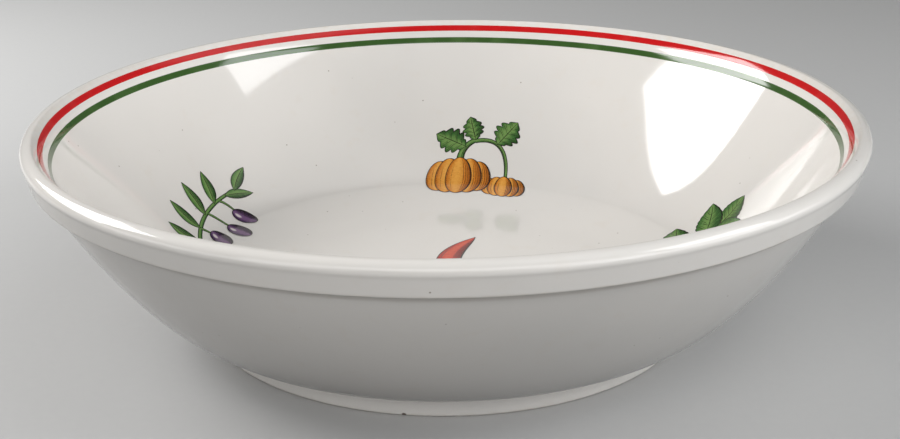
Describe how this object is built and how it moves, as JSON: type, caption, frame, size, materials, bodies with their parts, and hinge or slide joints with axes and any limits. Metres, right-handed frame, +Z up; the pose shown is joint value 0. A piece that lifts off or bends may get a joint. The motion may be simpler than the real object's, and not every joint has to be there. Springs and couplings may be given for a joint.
{
  "type": "pasta serving bowl",
  "caption": "Wide, low glazed earthenware serving bowl with a rolled lip over a collar, bands inside the rim, printed food sprigs on its wall and floor, and a turned foot ring.",
  "frame": {"origin": "middle of the ring that the bowl stands on, on the bowl's axis", "axes": "+Z up the bowl's axis, +Y to the back of the picture, +X to its right"},
  "size_m": [0.34, 0.34, 0.0885],
  "materials": {
    "glazed_clay": "gloss",
    "red_print": "gloss",
    "green_print": "gloss",
    "orange_print": "gloss",
    "purple_print": "gloss",
    "brown_print": "gloss",
    "straw_print": "gloss"
  },
  "bodies": {
    "root": {"basil_print": "green_print", "bowl_body": "glazed_clay", "chilli_print_1": "red_print", "chilli_print_2": "red_print", "chilli_print_3": "red_print", "chilli_stalk_print": "green_print", "green_rim_band": "green_print", "large_squash_print": "orange_print", "mushroom_cap_print_1": "brown_print", "mushroom_cap_print_2": "brown_print", "mushroom_stem_print_1": "straw_print", "mushroom_stem_print_2": "straw_print", "olive_branch_print": "green_print", "olive_print_1": "purple_print", "olive_print_2": "purple_print", "olive_print_3": "purple_print", "radish_leaves_print": "green_print", "radish_print_1": "red_print", "radish_print_2": "red_print", "red_rim_band": "red_print", "small_squash_print": "orange_print", "squash_vine_print": "green_print"}
  },
  "joints": []
}
